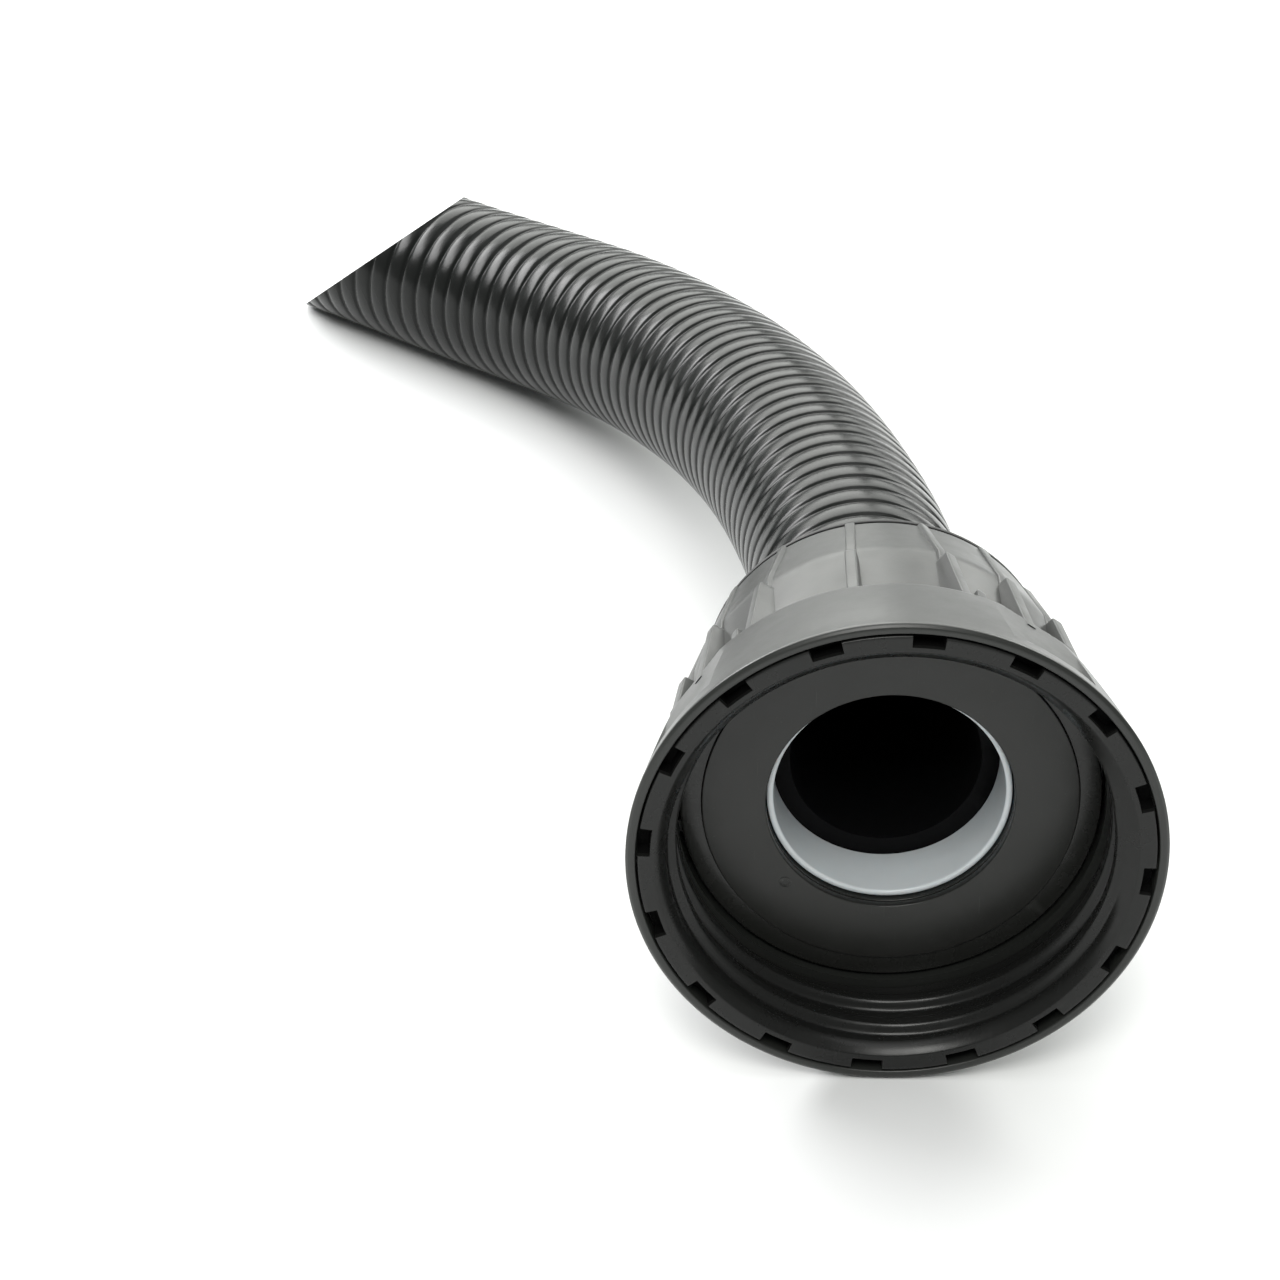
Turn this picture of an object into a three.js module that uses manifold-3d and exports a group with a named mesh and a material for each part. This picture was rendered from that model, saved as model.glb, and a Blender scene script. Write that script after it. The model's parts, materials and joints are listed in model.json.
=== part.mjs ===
// The end of a pool vacuum hose. A ribbed suction hose is fixed in a pale sleeve, a dark
// tailpiece with a sealing flange swivels on that sleeve, and a large union nut turns and
// slides on the tailpiece. The nut's axis lies along Y with its mouth facing -Y. The nut
// stands on its rim on the plane z = 0, and the hose comes down to lie on the same plane.
// Depths are measured along the nut's axis, back from its front face.
import * as THREE from "three";
import { ConvexGeometry } from "three/addons/geometries/ConvexGeometry.js";
import { mergeVertices } from "three/addons/utils/BufferGeometryUtils.js";
import Module from "manifold-3d";

const wasm = await Module();
wasm.setup();

const GAP = 0.3; // clearance between neighbouring pieces
const SIDES = 48; // facets round the large rings
const SMALL_SIDES = 32; // facets round the hidden rings
const EDGE = 0.5; // broken edges of the moulded pieces
const CUTTER_SIZE = 160; // a block large enough to cut any piece in two

// Union nut: the outer grip shell.
const RIM_RADIUS = 43;
const COLLAR_DEPTH = 21.5;
const COLLAR_BACK_RADIUS = 38.5;
const COLLAR_FLARE = [
  [42.4, 3.2],
  [41.3, 9],
  [39.9, 15.5],
]; // radius and depth
const BARREL_RADIUS = 33.5;
const BARREL_TAPER_START = 43;
const BARREL_BACK_RADIUS = 30.1;
const SHELL_LENGTH = 59;
const SHELL_WALL = 3;
const SHOULDER_DEPTH = 22.8;
const SHOULDER_WALL = 4.2;
const GUARD_THICKNESS = 1;
const GUARD_BORE = 20.6;
const GUARD_SPIGOT_WALL = 2.4;
const GUARD_SPIGOT_LENGTH = 4.5;
const NUT_LENGTH = SHELL_LENGTH + GAP + GUARD_THICKNESS;

// The grip repeats four times round the nut. A rib stands at the middle of each pad, and three more stand square
// to the scoop between two pads, so that the outer two lean.
const QUARTERS = 4;
const GRIP_ANGLE = -11;
const SCOOP_OFFSET = 45;
const RIBS = [
  { offset: 0, aside: 0 },
  { offset: SCOOP_OFFSET, aside: -11 },
  { offset: SCOOP_OFFSET, aside: 0 },
  { offset: SCOOP_OFFSET, aside: 11 },
];
const RIB_BASE_HALF_WIDTH = 1.2;
const RIB_TOP_HALF_WIDTH = 0.95;
const RIB_BACK_RADIUS = 35.5;
const RIB_BACK_DEPTH = 40;
const RIB_LOW_HEIGHT = 0.45;
const RIB_LOW_HALF_WIDTH = 0.9;
const EAR_HALF_WIDTH = 0.9;
const EAR_DEPTH = 24.6;
const EAR_ROUNDING = 0.5;
const SCOOP_WIDTH = 15.7;
const SCOOP_START = 4.5;
const SCOOP_LENGTH = 20; // it runs out through the collar's back
const SCOOP_FLOOR = 40.3;
const SCOOP_SLOPE = -7.2;
const SCOOP_CUTTER = 5; // height of the block that cuts a scoop

// Threaded insert: a coarse right-hand female thread about 73 mm across its roots.
const INSERT_LENGTH = 16.4;
const INSERT_FACE_RADIUS = 41;
const INSERT_FACE_BORE = 38.1;
const INSERT_FACE_DEPTH = 4;
const INSERT_BODY_RADIUS = 37.4;
const THREAD_ROOT = 36.4;
const THREAD_CREST = 34.8;
const THREAD_PITCH = 6.5;
const THREAD_START = 2.6;
const THREAD_END = 14.8;
const THREAD_START_ANGLE = 36;
const THREAD_BASE_WIDTH = 4;
const THREAD_CREST_WIDTH = 1.8;
const THREAD_RUN_OUT = 0.15; // turns over which each end of the thread fades out
const POCKETS = 16;
const POCKET_ANGLE = 4.7;
const POCKET_WIDTH = 4.9;
const POCKET_DEPTH = 3.2;
const POCKET_INNER_RADIUS = 39.1;
const POCKET_HEIGHT = 3;

// Tailpiece: the sealing flange and the barrel that holds the swivel.
const FLANGE_RADIUS = 34.4;
const FLANGE_FRONT = 17.7;
const FLANGE_BACK = 21;
const CHAMBER_RADIUS = FLANGE_RADIUS + 2 * GAP;
const TAIL_BARREL_RADIUS = 28;
const TAIL_END = 42.5;
const TAIL_BORE = 20.3;
const SWIVEL_BORE = 25;
const SWIVEL_START = 28;
const GROOVE_RADIUS = 22.6;
const GROOVE_START = 21.7;
const GROOVE_END = 24.4;
const SNAP_GROOVE_RADIUS = 26.3;
const SNAP_START = 34.8;
const SNAP_END = 37.4;
const RETAINER_BACK = 38.2;
const GASKET_FACE = 17.3;
const GASKET_THICKNESS = 1.4;
const GASKET_RADIUS = 30.5;
const O_RING_SECTION = 1;
const SLIP_RING_THICKNESS = 1.2;
const WASHER_THICKNESS = 1.1;
const SEAL_FRONT = RETAINER_BACK + GAP;
const SEAL_NOTCH = 39.9;
const SEAL_BACK = 41.8;
const SEAL_LIP = 0.8;

// Hose sleeve: a spigot in front, a shoulder for the swivel, and the hose's socket behind.
const SPIGOT_FACE = 19;
const SPIGOT_RADIUS = 19.9;
const SPIGOT_BORE = 18.8;
const SHOULDER_FRONT = 29.8;
const SHOULDER_BACK = 32.3;
const SWIVEL_RADIUS = SWIVEL_BORE - GAP;
const SOCKET_RADIUS = 22.2;
const SOCKET_BORE = 19.8;
const SOCKET_FLOOR = 31;
const SLEEVE_END = 55;
const CLAMP_FRONT = 45;
const CLAMP_BACK = 51;
const CLAMP_BAND = 0.8;
const CLAMP_FOLD = 2;

// Hose: 32 mm bore, 38.8 mm over its ribs, cut at a slant at its free end.
const HOSE_RADIUS = 19.4;
const HOSE_BORE = 16;
const HOSE_SIDES = 12;
const HOSE_STEPS = 22;
const HOSE_START = SOCKET_FLOOR + GAP - NUT_LENGTH / 2;
const CUT_CENTRE = [-109.8, 279.6, HOSE_RADIUS];
const CUT_HEADING = 155;
const CUT_ELEVATION = 52;
const HOSE_ROUTE = [
  [0, HOSE_START, RIM_RADIUS],
  [0, 15, 43],
  [0, 29, 43],
  [-0.3, 43, 42.9],
  [-1, 57, 42.5],
  [-2.2, 71, 41.7],
  [-3.9, 85, 40.6],
  [-6.1, 99, 39.3],
  [-8.7, 113, 37.9],
  [-11.8, 127, 36.4],
  [-15.5, 141, 34.8],
  [-19.8, 154.5, 33.2],
  [-24.6, 168, 31.4],
  [-30.1, 181, 29.6],
  [-36.3, 194, 27.8],
  [-43.2, 206.5, 26],
  [-50.9, 218.5, 24.3],
  [-59.2, 229.7, 22.6],
  [-68, 240.2, 21.2],
  [-77.3, 250, 20.2],
  [-87, 259.3, 19.6],
  [-97, 268.4, HOSE_RADIUS],
  [-107.3, 277.4, HOSE_RADIUS],
  [-117.8, 286.3, HOSE_RADIUS],
  [-128.5, 295, HOSE_RADIUS],
  [-141, 304.8, HOSE_RADIUS],
];

const rad = THREE.MathUtils.degToRad;
const at = (radius, depth) => new THREE.Vector2(radius, depth);

// Angles in the nut go clockwise from the top, seen from its mouth.
const quarterAngles = Array.from(
  { length: QUARTERS },
  (_, k) => GRIP_ANGLE + (k * 360) / QUARTERS,
);

const materials = {
  shell: plastic(0x8f948f, 0.38),
  insert: plastic(0x53544f, 0.32),
  flange: plastic(0x3c3d39, 0.42),
  sleeve: plastic(0xb9c6c8, 0.35),
  bearing: plastic(0xd9d7cf, 0.3),
  rubber: plastic(0x161718, 0.75),
  gasket: plastic(0x2f302e, 0.5),
  hose: plastic(0x35383a, 0.45),
  steel: new THREE.MeshStandardMaterial({
    color: 0xb4b7b9,
    roughness: 0.3,
    metalness: 1,
  }),
};

function plastic(color, roughness) {
  return new THREE.MeshStandardMaterial({ color, roughness, metalness: 0 });
}

// A closed three.js geometry as a solid that can be joined and cut.
function solid(geometry) {
  const bare = geometry.clone();
  bare.deleteAttribute("normal");
  bare.deleteAttribute("uv");
  const merged = mergeVertices(bare);
  return new wasm.Manifold(
    new wasm.Mesh({
      numProp: 3,
      vertProperties: merged.getAttribute("position").array,
      triVerts: new Uint32Array(merged.index.array),
    }),
  );
}

function geometryOf(manifold) {
  const { vertProperties, triVerts } = manifold.getMesh();
  const geometry = new THREE.BufferGeometry();
  geometry.setAttribute("position", new THREE.BufferAttribute(vertProperties, 3));
  geometry.setIndex(new THREE.BufferAttribute(triVerts, 1));
  geometry.computeVertexNormals();
  return geometry;
}

// A ring round the nut's axis from its closed outline of radius and depth.
function ring(outline, sides = SIDES) {
  const closed = [...outline, outline[0]];
  if (THREE.ShapeUtils.area(outline) < 0) closed.reverse();
  return new THREE.LatheGeometry(closed, sides);
}

// A plain ring of rectangular section.
function washer(inner, outer, front, back, sides = SMALL_SIDES) {
  return ring([at(inner, front), at(outer, front), at(outer, back), at(inner, back)], sides);
}

// Two points at one depth, either side of a feature's middle, which is at the radius.
function across(radius, halfWidth, depth, aside = 0) {
  const height = Math.sqrt(radius ** 2 - aside ** 2);
  return [-halfWidth, halfWidth].map((x) => new THREE.Vector3(aside + x, depth, height));
}

// The convex feature through the given points, turned to its angle round the nut.
function feature(points, angle) {
  return solid(new ConvexGeometry(points).rotateY(rad(angle)));
}

function gripShell() {
  let body = solid(ring(shellOutline()));
  for (const centre of quarterAngles) {
    for (const { offset, aside } of RIBS) {
      body = body.add(tallRib(centre + offset, aside)).add(lowRib(centre + offset, aside));
    }
    for (const side of [-1, 1]) body = body.add(ear(centre + SCOOP_OFFSET, side));
    body = body.subtract(scoop(centre + SCOOP_OFFSET));
  }
  return geometryOf(body.subtract(chamber()));
}

// The room inside the collar for the flange and the slip ring, which the ribs' feet keep out of.
function chamber() {
  const room = new THREE.CylinderGeometry(CHAMBER_RADIUS, CHAMBER_RADIUS, SHOULDER_DEPTH, SIDES);
  return solid(room.translate(0, SHOULDER_DEPTH / 2, 0));
}

function shellOutline() {
  const taperBore = BARREL_BACK_RADIUS - SHELL_WALL;
  const barrelBore = BARREL_RADIUS - SHELL_WALL;
  const faceBore = INSERT_FACE_RADIUS + GAP;
  const bodyBore = INSERT_BODY_RADIUS + GAP;
  const shoulderBore = TAIL_BARREL_RADIUS + 2 * GAP;
  const shoulderBack = SHOULDER_DEPTH + SHOULDER_WALL;
  return [
    at(faceBore, 0),
    at(RIM_RADIUS - EDGE, 0),
    at(RIM_RADIUS, EDGE),
    ...COLLAR_FLARE.map(([radius, depth]) => at(radius, depth)),
    at(COLLAR_BACK_RADIUS + EDGE / 2, COLLAR_DEPTH - EDGE),
    at(COLLAR_BACK_RADIUS - EDGE / 2, COLLAR_DEPTH),
    at(BARREL_RADIUS, COLLAR_DEPTH + COLLAR_BACK_RADIUS - BARREL_RADIUS),
    at(BARREL_RADIUS, BARREL_TAPER_START),
    at(BARREL_BACK_RADIUS, SHELL_LENGTH),
    at(taperBore, SHELL_LENGTH),
    at(barrelBore, BARREL_TAPER_START + 1),
    at(barrelBore, shoulderBack),
    at(shoulderBore, shoulderBack),
    at(shoulderBore, SHOULDER_DEPTH),
    at(CHAMBER_RADIUS, SHOULDER_DEPTH),
    at(CHAMBER_RADIUS, INSERT_LENGTH + GAP),
    at(bodyBore, INSERT_LENGTH + GAP),
    at(bodyBore, INSERT_FACE_DEPTH + 3 * GAP),
    at(faceBore, INSERT_FACE_DEPTH + GAP),
  ];
}

// A rib's tall part: level with the collar in front, and cut off square where it is still well above the barrel.
function tallRib(angle, aside) {
  const foot = BARREL_RADIUS - SHELL_WALL / 2;
  const front = COLLAR_DEPTH - 1;
  return feature(
    [
      ...across(foot, RIB_BASE_HALF_WIDTH, front, aside),
      ...across(foot, RIB_BASE_HALF_WIDTH, RIB_BACK_DEPTH, aside),
      ...across(COLLAR_BACK_RADIUS - EDGE, RIB_TOP_HALF_WIDTH, front, aside),
      ...across(RIB_BACK_RADIUS, RIB_TOP_HALF_WIDTH, RIB_BACK_DEPTH - EDGE, aside),
    ],
    angle,
  );
}

// The low band that carries on from the tall part to the back of the barrel.
function lowRib(angle, aside) {
  const foot = SHELL_WALL / 2;
  const front = RIB_BACK_DEPTH - 2;
  const back = SHELL_LENGTH - EDGE;
  return feature(
    [
      ...across(BARREL_RADIUS - foot, RIB_LOW_HALF_WIDTH, front, aside),
      ...across(BARREL_RADIUS + RIB_LOW_HEIGHT, RIB_LOW_HALF_WIDTH, front, aside),
      ...across(BARREL_RADIUS + RIB_LOW_HEIGHT, RIB_LOW_HALF_WIDTH, BARREL_TAPER_START, aside),
      ...across(BARREL_BACK_RADIUS - foot, RIB_LOW_HALF_WIDTH, back, aside),
      ...across(BARREL_BACK_RADIUS + RIB_LOW_HEIGHT, RIB_LOW_HALF_WIDTH, back, aside),
    ],
    angle,
  );
}

// A rounded lug that stands behind the collar at each end of a grip pad, level with the scoop's end.
function ear(angle, side) {
  const foot = BARREL_RADIUS - 1;
  const top = COLLAR_BACK_RADIUS - EDGE;
  const front = COLLAR_DEPTH - 1;
  const round = EAR_DEPTH - EAR_ROUNDING;
  const narrow = EAR_HALF_WIDTH - EAR_ROUNDING;
  const aside = side * (SCOOP_WIDTH / 2 + EAR_HALF_WIDTH);
  return feature(
    [
      ...across(foot, EAR_HALF_WIDTH, front, aside),
      ...across(top, EAR_HALF_WIDTH, front, aside),
      ...across(foot, EAR_HALF_WIDTH, round, aside),
      ...across(top, EAR_HALF_WIDTH, round, aside),
      ...across(foot, narrow, EAR_DEPTH, aside),
      ...across(top, narrow, EAR_DEPTH, aside),
    ],
    angle,
  );
}

// The block that cuts a finger scoop into the collar between two grip pads.
function scoop(angle) {
  const block = new THREE.BoxGeometry(SCOOP_WIDTH, SCOOP_LENGTH, SCOOP_CUTTER);
  block.translate(0, SCOOP_LENGTH / 2, SCOOP_CUTTER / 2);
  block.rotateX(rad(SCOOP_SLOPE));
  block.translate(0, SCOOP_START, SCOOP_FLOOR);
  return solid(block.rotateY(rad(angle)));
}

function threadedInsert() {
  let body = solid(
    ring([
      at(INSERT_FACE_BORE, 0),
      at(INSERT_FACE_RADIUS, 0),
      at(INSERT_FACE_RADIUS, INSERT_FACE_DEPTH),
      at(INSERT_BODY_RADIUS, INSERT_FACE_DEPTH + 2 * GAP),
      at(INSERT_BODY_RADIUS, INSERT_LENGTH),
      at(THREAD_ROOT, INSERT_LENGTH),
      at(THREAD_ROOT, INSERT_FACE_BORE - THREAD_ROOT),
    ]),
  );
  for (let k = 0; k < POCKETS; k += 1) {
    body = body.subtract(pocket(POCKET_ANGLE + (k * 360) / POCKETS));
  }
  return geometryOf(body.add(threadRidge()));
}

function pocket(angle) {
  const block = new THREE.BoxGeometry(POCKET_WIDTH, 2 * POCKET_DEPTH, POCKET_HEIGHT);
  block.translate(0, 0, POCKET_INNER_RADIUS + POCKET_HEIGHT / 2);
  return solid(block.rotateY(rad(angle)));
}

// The thread's section, extruded straight and then wound round the axis as a helix.
function threadRidge() {
  const foot = THREAD_ROOT + EDGE;
  const turns = (THREAD_END - THREAD_START) / THREAD_PITCH;
  const section = new THREE.Shape([
    at(foot, -THREAD_BASE_WIDTH / 2),
    at(foot, THREAD_BASE_WIDTH / 2),
    at(THREAD_CREST, THREAD_CREST_WIDTH / 2),
    at(THREAD_CREST, -THREAD_CREST_WIDTH / 2),
  ]);
  const steps = Math.round(turns * SIDES);
  const ridge = new THREE.ExtrudeGeometry(section, { depth: turns, steps, bevelEnabled: false });
  const position = ridge.getAttribute("position");
  for (let i = 0; i < position.count; i += 1) {
    const turn = turns - position.getZ(i);
    const height = Math.min(1, turn / THREAD_RUN_OUT, (turns - turn) / THREAD_RUN_OUT);
    const sunk = THREE.MathUtils.lerp(THREAD_ROOT + GAP / 2, THREAD_CREST, height);
    const radius = Math.max(position.getX(i), sunk);
    const angle = rad(THREAD_START_ANGLE + 360 * turn);
    const depth = THREAD_START + THREAD_PITCH * turn + position.getY(i);
    position.setXYZ(i, radius * Math.sin(angle), depth, radius * Math.cos(angle));
  }
  return solid(ridge);
}

// The black ring that closes the nut's back round the hose.
function rearGuard() {
  const face = SHELL_LENGTH + GAP;
  const front = face - GUARD_SPIGOT_LENGTH;
  const spigot = BARREL_BACK_RADIUS - SHELL_WALL - GAP;
  const spigotBore = spigot - GUARD_SPIGOT_WALL;
  const rim = BARREL_BACK_RADIUS - GAP / 2;
  return ring([
    at(GUARD_BORE, face),
    at(spigotBore, face),
    at(spigotBore, front),
    at(spigot, front),
    at(spigot, face),
    at(rim, face),
    at(rim, NUT_LENGTH),
    at(GUARD_BORE, NUT_LENGTH),
  ]);
}

function tailpiece() {
  const gasketSeat = GASKET_FACE + GASKET_THICKNESS + GAP;
  return ring([
    at(GASKET_RADIUS + GAP, FLANGE_FRONT),
    at(FLANGE_RADIUS, FLANGE_FRONT),
    at(FLANGE_RADIUS, FLANGE_BACK),
    at(TAIL_BARREL_RADIUS, FLANGE_BACK),
    at(TAIL_BARREL_RADIUS, TAIL_END),
    at(SWIVEL_BORE, TAIL_END),
    at(SWIVEL_BORE, SNAP_END),
    at(SNAP_GROOVE_RADIUS, SNAP_END),
    at(SNAP_GROOVE_RADIUS, SNAP_START),
    at(SWIVEL_BORE, SNAP_START),
    at(SWIVEL_BORE, SWIVEL_START),
    at(TAIL_BORE, SWIVEL_START),
    at(TAIL_BORE, GROOVE_END),
    at(GROOVE_RADIUS, GROOVE_END),
    at(GROOVE_RADIUS, GROOVE_START),
    at(TAIL_BORE, GROOVE_START),
    at(TAIL_BORE, gasketSeat),
    at(GASKET_RADIUS + GAP, gasketSeat),
  ]);
}

// The O-ring in the tailpiece's groove, round the sleeve's spigot.
function boreORing() {
  const middleRadius = (SPIGOT_RADIUS + GROOVE_RADIUS) / 2;
  const middleDepth = (GROOVE_START + GROOVE_END) / 2;
  const points = Array.from({ length: 8 }, (_, k) => {
    const angle = (k * Math.PI) / 4;
    return at(
      middleRadius + O_RING_SECTION * Math.cos(angle),
      middleDepth + O_RING_SECTION * Math.sin(angle),
    );
  });
  return ring(points, SMALL_SIDES);
}

// One half of the split ring that holds the sleeve's shoulder in the tailpiece.
function retainingHalf(side) {
  const inner = SOCKET_RADIUS + GAP;
  const front = SHOULDER_BACK + WASHER_THICKNESS + 2 * GAP;
  const whole = ring(
    [
      at(inner, front),
      at(SWIVEL_RADIUS, front),
      at(SWIVEL_RADIUS, SNAP_START + GAP),
      at(SNAP_GROOVE_RADIUS - GAP, SNAP_START + GAP),
      at(SNAP_GROOVE_RADIUS - GAP, SNAP_END - GAP),
      at(SWIVEL_RADIUS, SNAP_END - GAP),
      at(SWIVEL_RADIUS, RETAINER_BACK),
      at(inner, RETAINER_BACK),
    ],
    SMALL_SIDES,
  );
  const rest = new THREE.BoxGeometry(CUTTER_SIZE, CUTTER_SIZE, CUTTER_SIZE);
  rest.translate(side * (GAP - CUTTER_SIZE / 2), 0, 0);
  return geometryOf(solid(whole).subtract(solid(rest)));
}

// The V-lipped seal that keeps grit out of the swivel from behind.
function rearSeal() {
  const inner = SOCKET_RADIUS + GAP;
  return ring(
    [
      at(inner, SEAL_FRONT),
      at(SWIVEL_RADIUS, SEAL_FRONT),
      at(SWIVEL_RADIUS, SEAL_BACK),
      at(SWIVEL_RADIUS - SEAL_LIP, SEAL_BACK),
      at((inner + SWIVEL_RADIUS) / 2, SEAL_NOTCH),
      at(inner + SEAL_LIP / 2, SEAL_BACK),
      at(inner, SEAL_BACK),
    ],
    SMALL_SIDES,
  );
}

function hoseSleeve() {
  return ring([
    at(SPIGOT_BORE + GAP, SPIGOT_FACE),
    at(SPIGOT_RADIUS - GAP, SPIGOT_FACE),
    at(SPIGOT_RADIUS, SPIGOT_FACE + GAP),
    at(SPIGOT_RADIUS, SHOULDER_FRONT),
    at(SWIVEL_RADIUS, SHOULDER_FRONT),
    at(SWIVEL_RADIUS, SHOULDER_BACK),
    at(SOCKET_RADIUS, SHOULDER_BACK),
    at(SOCKET_RADIUS, SLEEVE_END),
    at(SOCKET_BORE, SLEEVE_END),
    at(SOCKET_BORE, SOCKET_FLOOR),
    at(SPIGOT_BORE, SOCKET_FLOOR),
    at(SPIGOT_BORE, SPIGOT_FACE + GAP),
  ]);
}

// The pinch clamp that squeezes the sleeve's socket on the hose, with its folded ear.
function hoseClamp() {
  const inner = SOCKET_RADIUS + GAP;
  const outer = inner + CLAMP_BAND;
  const foot = outer - CLAMP_BAND / 2;
  const fold = new ConvexGeometry([
    ...across(foot, CLAMP_FOLD, CLAMP_FRONT + EDGE),
    ...across(foot, CLAMP_FOLD, CLAMP_BACK - EDGE),
    ...across(outer + CLAMP_FOLD, CLAMP_FOLD - EDGE, CLAMP_FRONT + 2 * EDGE),
    ...across(outer + CLAMP_FOLD, CLAMP_FOLD - EDGE, CLAMP_BACK - 2 * EDGE),
  ]);
  const band = washer(inner, outer, CLAMP_FRONT, CLAMP_BACK);
  return geometryOf(solid(band).add(solid(fold)));
}

function polygon(radius) {
  return Array.from({ length: HOSE_SIDES }, (_, k) => {
    const angle = (k * 2 * Math.PI) / HOSE_SIDES;
    return at(radius * Math.cos(angle), radius * Math.sin(angle));
  });
}

// The hose as a plain hollow tube along its route, cut off by a slanted plane.
function hoseTube() {
  const section = new THREE.Shape(polygon(HOSE_RADIUS));
  section.holes.push(new THREE.Path(polygon(HOSE_BORE)));
  const route = HOSE_ROUTE.map((point) => new THREE.Vector3(...point));
  const tube = new THREE.ExtrudeGeometry(section, {
    steps: HOSE_STEPS,
    extrudePath: new THREE.CatmullRomCurve3(route),
    bevelEnabled: false,
  });
  const slope = rad(CUT_ELEVATION);
  const heading = rad(CUT_HEADING);
  const normal = new THREE.Vector3(
    Math.cos(slope) * Math.cos(heading),
    Math.cos(slope) * Math.sin(heading),
    Math.sin(slope),
  );
  const beyond = new THREE.BoxGeometry(CUTTER_SIZE, CUTTER_SIZE, CUTTER_SIZE);
  beyond.translate(0, 0, CUTTER_SIZE / 2);
  beyond.applyQuaternion(
    new THREE.Quaternion().setFromUnitVectors(new THREE.Vector3(0, 0, 1), normal),
  );
  beyond.translate(...CUT_CENTRE);
  return geometryOf(solid(tube).subtract(solid(beyond)));
}

function named(name, geometry, material) {
  const mesh = new THREE.Mesh(geometry, material);
  mesh.name = name;
  return mesh;
}

const unionNut = new THREE.Group();
unionNut.add(
  named("grip_shell", gripShell(), materials.shell),
  named("threaded_insert", threadedInsert(), materials.insert),
  named("rear_guard", rearGuard(), materials.rubber),
);

const slipRing = named(
  "slip_ring",
  washer(
    TAIL_BARREL_RADIUS + GAP,
    FLANGE_RADIUS,
    FLANGE_BACK + GAP,
    FLANGE_BACK + GAP + SLIP_RING_THICKNESS,
    SIDES,
  ),
  materials.bearing,
);

const swivel = new THREE.Group();
swivel.add(
  named("tailpiece", tailpiece(), materials.flange),
  named(
    "face_gasket",
    washer(TAIL_BORE, GASKET_RADIUS, GASKET_FACE, GASKET_FACE + GASKET_THICKNESS, SIDES),
    materials.gasket,
  ),
  named("bore_o_ring", boreORing(), materials.rubber),
  named(
    "bearing_washer_front",
    washer(
      SPIGOT_RADIUS + GAP,
      SWIVEL_RADIUS,
      SHOULDER_FRONT - GAP - WASHER_THICKNESS,
      SHOULDER_FRONT - GAP,
    ),
    materials.bearing,
  ),
  named(
    "bearing_washer_rear",
    washer(
      SOCKET_RADIUS + GAP,
      SWIVEL_RADIUS,
      SHOULDER_BACK + GAP,
      SHOULDER_BACK + GAP + WASHER_THICKNESS,
    ),
    materials.bearing,
  ),
  named("retaining_half_left", retainingHalf(-1), materials.flange),
  named("retaining_half_right", retainingHalf(1), materials.flange),
  named("rear_seal", rearSeal(), materials.rubber),
);

const hoseEnd = new THREE.Group();
hoseEnd.add(
  named("hose_sleeve", hoseSleeve(), materials.sleeve),
  named("hose_clamp", hoseClamp(), materials.steel),
);

const coupling = new THREE.Group();
coupling.position.set(0, -NUT_LENGTH / 2, RIM_RADIUS);
coupling.add(unionNut, slipRing, swivel, hoseEnd);

const vacuumHose = new THREE.Group();
vacuumHose.add(coupling, named("hose_tube", hoseTube(), materials.hose));

export default vacuumHose;
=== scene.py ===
"""The end of a pool vacuum hose: a union nut on a swivelling tailpiece, and the ribbed hose behind it.

Lengths are in metres, apart from the outlines of the nut's and the swivel's pieces. Those are in millimetres
as (radius, depth): the distance from the nut's axis, and the distance back from the nut's front face. Angles
round the nut go clockwise from the top, seen from its mouth.
"""

import json
import math

import bmesh
import bpy
import numpy as np
from mathutils import Matrix, Vector


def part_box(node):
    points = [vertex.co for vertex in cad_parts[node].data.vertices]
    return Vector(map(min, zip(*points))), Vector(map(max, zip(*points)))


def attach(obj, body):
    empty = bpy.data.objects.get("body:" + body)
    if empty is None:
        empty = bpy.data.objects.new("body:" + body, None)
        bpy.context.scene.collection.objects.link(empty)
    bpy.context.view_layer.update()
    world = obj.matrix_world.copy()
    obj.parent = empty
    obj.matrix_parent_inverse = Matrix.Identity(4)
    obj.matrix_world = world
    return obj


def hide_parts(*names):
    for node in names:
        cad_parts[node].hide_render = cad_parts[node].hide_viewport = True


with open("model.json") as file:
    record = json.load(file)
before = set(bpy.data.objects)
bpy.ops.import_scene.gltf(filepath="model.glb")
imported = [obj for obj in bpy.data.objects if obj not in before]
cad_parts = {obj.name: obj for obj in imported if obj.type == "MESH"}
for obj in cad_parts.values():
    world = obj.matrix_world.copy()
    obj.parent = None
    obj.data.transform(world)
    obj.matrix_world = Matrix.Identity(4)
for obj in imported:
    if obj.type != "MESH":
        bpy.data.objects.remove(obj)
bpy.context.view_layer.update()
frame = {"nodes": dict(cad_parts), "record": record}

MM = 0.001
shell_low, shell_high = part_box("grip_shell")
AXIS_HEIGHT = (shell_low[2] + shell_high[2]) / 2
NUT_FRONT = shell_low[1]
RIM_RADIUS = (shell_high[0] - shell_low[0]) / 2 / MM

# The union nut's grip shell.
SHELL_LENGTH = (shell_high[1] - shell_low[1]) / MM
COLLAR_FLARE = [(42.4, 3.2), (41.3, 9), (39.9, 15.5)]
COLLAR_BACK = (38.5, 21.5)
BARREL_RADIUS = 33.5
BARREL_START = 26.5
TAPER_START = 43
BARREL_BACK_RADIUS = 30.1
QUARTERS = 4
GRIP_ANGLE = -11
SCOOP_OFFSET = 45
SCOOP_HALF_WIDTH = 7.85
SCOOP_START = 4.5
SCOOP_FLOOR = 40.3
SCOOP_SLOPE = 0.126
SCOOP_HOLLOW = 0.4

# What stands on the shell, as an angle in its quarter and a distance aside of that.
RIBS = [(0, 0), (SCOOP_OFFSET, -11), (SCOOP_OFFSET, 0), (SCOOP_OFFSET, 11)]
EARS = [(SCOOP_OFFSET, -8.76), (SCOOP_OFFSET, 8.76)]

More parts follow.
